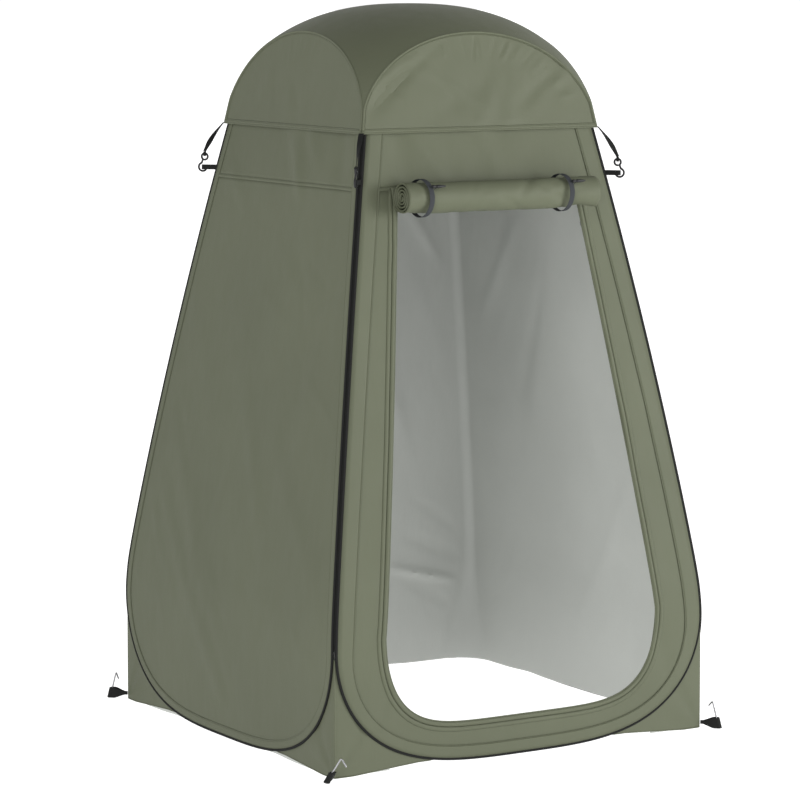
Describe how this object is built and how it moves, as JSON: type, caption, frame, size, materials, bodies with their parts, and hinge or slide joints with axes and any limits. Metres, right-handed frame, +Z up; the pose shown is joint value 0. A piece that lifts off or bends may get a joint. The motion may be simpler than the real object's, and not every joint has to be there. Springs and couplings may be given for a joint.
{
  "type": "pop-up privacy shower tent",
  "caption": "Tall square pop-up shower tent with leaning walls on sprung hoops, a rolled-up door, a domed rain cap tied down by straps and hooks, and pegs at its corners.",
  "frame": {"origin": "middle of the footprint, on the ground the tent stands on", "axes": "+Z up, -Y out through the door, +X to the right of someone facing the door"},
  "size_m": [1.2954, 1.3284, 2.023],
  "materials": {
    "olive_fabric": "matt coated polyester taffeta, olive outside and silver-grey inside",
    "black_webbing": "matt ribbed webbing and folded tape",
    "grey_tape": "matt woven tape",
    "roof_net": "fine open net",
    "spring_steel": "drawn wire, satin",
    "black_plastic": "moulded, satin"
  },
  "bodies": {
    "tent": {"wall_upper_front": "olive_fabric", "wall_lower_front": "olive_fabric", "hoop_front": "spring_steel", "binding_front": "black_webbing", "wall_upper_right": "olive_fabric", "wall_lower_right": "olive_fabric", "hoop_right": "spring_steel", "binding_right": "black_webbing", "wall_upper_back": "olive_fabric", "wall_lower_back": "olive_fabric", "hoop_back": "spring_steel", "binding_back": "black_webbing", "wall_upper_left": "olive_fabric", "wall_lower_left": "olive_fabric", "hoop_left": "spring_steel", "binding_left": "black_webbing", "gusset_front_right": "olive_fabric", "stake_tab_front_right": "black_webbing", "corner_loop_front_right": "black_webbing", "gusset_back_right": "olive_fabric", "stake_tab_back_right": "black_webbing", "corner_loop_back_right": "black_webbing", "gusset_back_left": "olive_fabric", "stake_tab_back_left": "black_webbing", "corner_loop_back_left": "black_webbing", "gusset_front_left": "olive_fabric", "stake_tab_front_left": "black_webbing", "corner_loop_front_left": "black_webbing", "door_zip_tape": "black_webbing", "roof_net": "roof_net", "door_roll": "olive_fabric", "roll_tie_left": "grey_tape", "roll_tie_right": "grey_tape"},
    "cap": {"rain_cap": "olive_fabric"},
    "strap_front_right": {"cap_strap_front_right": "black_webbing"},
    "hook_front_right": {"s_hook_front_right": "black_plastic"},
    "peg_front_right": {"stake_front_right": "spring_steel"},
    "strap_back_right": {"cap_strap_back_right": "black_webbing"},
    "hook_back_right": {"s_hook_back_right": "black_plastic"},
    "peg_back_right": {"stake_back_right": "spring_steel"},
    "strap_back_left": {"cap_strap_back_left": "black_webbing"},
    "hook_back_left": {"s_hook_back_left": "black_plastic"},
    "peg_back_left": {"stake_back_left": "spring_steel"},
    "strap_front_left": {"cap_strap_front_left": "black_webbing"},
    "hook_front_left": {"s_hook_front_left": "black_plastic"},
    "peg_front_left": {"stake_front_left": "spring_steel"},
    "toggle_left": {"tie_toggle_left": "black_plastic"},
    "slider_left": {"zip_slider_left": "spring_steel"},
    "toggle_right": {"tie_toggle_right": "black_plastic"},
    "slider_right": {"zip_slider_right": "spring_steel"}
  },
  "joints": [
    {"name": "cap_lift", "type": "slide", "parent": "tent", "child": "cap", "axis": [0, 0, 1], "range_m": [0, 0.45], "deforming": ["corner_loop_front_right", "corner_loop_back_right", "corner_loop_back_left", "corner_loop_front_left"]},
    {"name": "strap_swing_front_right", "type": "hinge", "parent": "cap", "child": "strap_front_right", "pos_m": [0.38219, -0.38219, 1.684], "axis": [-0.7071, -0.7071, 0], "range_deg": [0, 60]},
    {"name": "hook_swivel_front_right", "type": "hinge", "parent": "strap_front_right", "child": "hook_front_right", "pos_m": [0.42214, -0.42214, 1.5955], "axis": [-0.7071, -0.7071, 0], "range_deg": [-3, 3]},
    {"name": "stake_pull_front_right", "type": "slide", "parent": "tent", "child": "peg_front_right", "axis": [-0.1711, 0.1711, 0.9703], "range_m": [0, 0.09]},
    {"name": "strap_swing_back_right", "type": "hinge", "parent": "cap", "child": "strap_back_right", "pos_m": [0.38219, 0.38219, 1.684], "axis": [0.7071, -0.7071, 0], "range_deg": [0, 60]},
    {"name": "hook_swivel_back_right", "type": "hinge", "parent": "strap_back_right", "child": "hook_back_right", "pos_m": [0.42214, 0.42214, 1.5955], "axis": [0.7071, -0.7071, 0], "range_deg": [-3, 3]},
    {"name": "stake_pull_back_right", "type": "slide", "parent": "tent", "child": "peg_back_right", "axis": [-0.4058, 0.3212, 0.8556], "range_m": [0, 0.09]},
    {"name": "strap_swing_back_left", "type": "hinge", "parent": "cap", "child": "strap_back_left", "pos_m": [-0.38219, 0.38219, 1.684], "axis": [0.7071, 0.7071, 0], "range_deg": [0, 60]},
    {"name": "hook_swivel_back_left", "type": "hinge", "parent": "strap_back_left", "child": "hook_back_left", "pos_m": [-0.42214, 0.42214, 1.5955], "axis": [0.7071, 0.7071, 0], "range_deg": [-3, 3]},
    {"name": "stake_pull_back_left", "type": "slide", "parent": "tent", "child": "peg_back_left", "axis": [0.1711, -0.1711, 0.9703], "range_m": [0, 0.09]},
    {"name": "strap_swing_front_left", "type": "hinge", "parent": "cap", "child": "strap_front_left", "pos_m": [-0.38219, -0.38219, 1.684], "axis": [-0.7071, 0.7071, 0], "range_deg": [0, 60]},
    {"name": "hook_swivel_front_left", "type": "hinge", "parent": "strap_front_left", "child": "hook_front_left", "pos_m": [-0.42214, -0.42214, 1.5955], "axis": [-0.7071, 0.7071, 0], "range_deg": [-3, 3]},
    {"name": "stake_pull_front_left", "type": "slide", "parent": "tent", "child": "peg_front_left", "axis": [0.4058, -0.3212, 0.8556], "range_m": [0, 0.09]},
    {"name": "toggle_turn_left", "type": "hinge", "parent": "tent", "child": "toggle_left", "pos_m": [-0.228, -0.50648, 1.54514], "axis": [0, -0.8192, 0.5736], "range_deg": [-70, 70]},
    {"name": "toggle_turn_right", "type": "hinge", "parent": "tent", "child": "toggle_right", "pos_m": [0.222, -0.50648, 1.54514], "axis": [0, -0.8192, 0.5736], "range_deg": [-70, 70]},
    {"name": "slider_run_left", "type": "slide", "parent": "tent", "child": "slider_left", "axis": [-0.1279, -0.18, -0.9753], "range_m": [0, 0.3]},
    {"name": "slider_run_right", "type": "slide", "parent": "tent", "child": "slider_right", "axis": [0.1279, -0.18, -0.9753], "range_m": [0, 0.3]}
  ]
}
